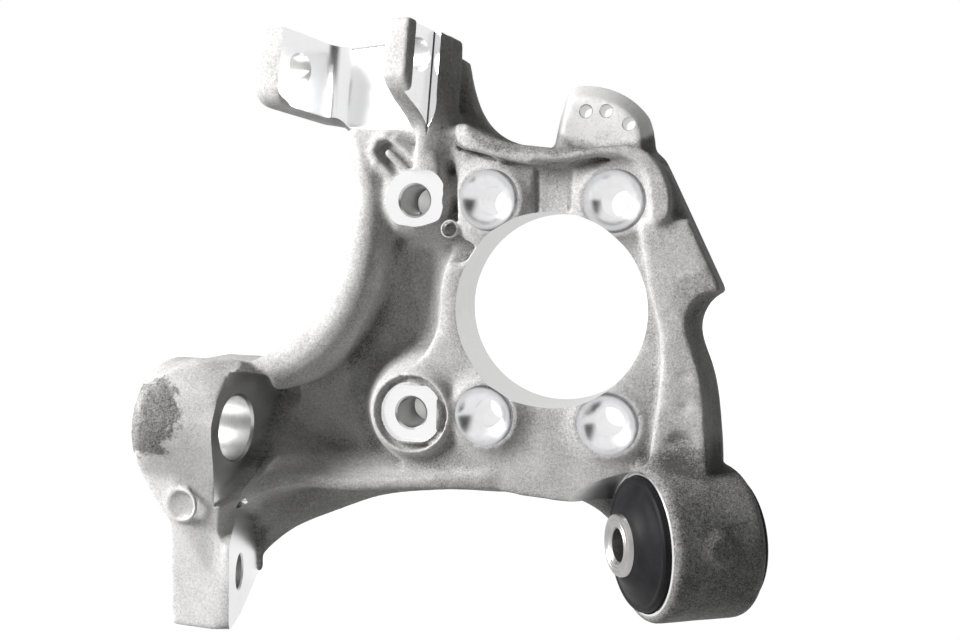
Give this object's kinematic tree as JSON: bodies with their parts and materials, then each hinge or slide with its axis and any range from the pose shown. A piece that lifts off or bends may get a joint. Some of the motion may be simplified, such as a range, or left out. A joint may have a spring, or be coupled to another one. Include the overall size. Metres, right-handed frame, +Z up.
{
  "type": "steering knuckle",
  "caption": "Cast aluminium steering knuckle with a hub bore, caliper bosses, an upper clevis, a lower lug and a pressed-in rubber bush.",
  "frame": {"origin": "centre of the hub bore at the machined outboard flange face", "axes": "+X to the right as seen from inboard, +Y outboard along the hub bore, +Z up"},
  "size_m": [0.285, 0.114, 0.286],
  "materials": {
    "cast_aluminium": "sand cast skin with milled faces",
    "outer_sleeve": "drawn tube",
    "bush_rubber": "moulded, satin",
    "inner_sleeve": "turned ends"
  },
  "bodies": {
    "root": {"knuckle": "cast_aluminium", "bushing_outer_sleeve": "outer_sleeve", "bushing_rubber": "bush_rubber", "bushing_inner_sleeve": "inner_sleeve"}
  },
  "joints": []
}
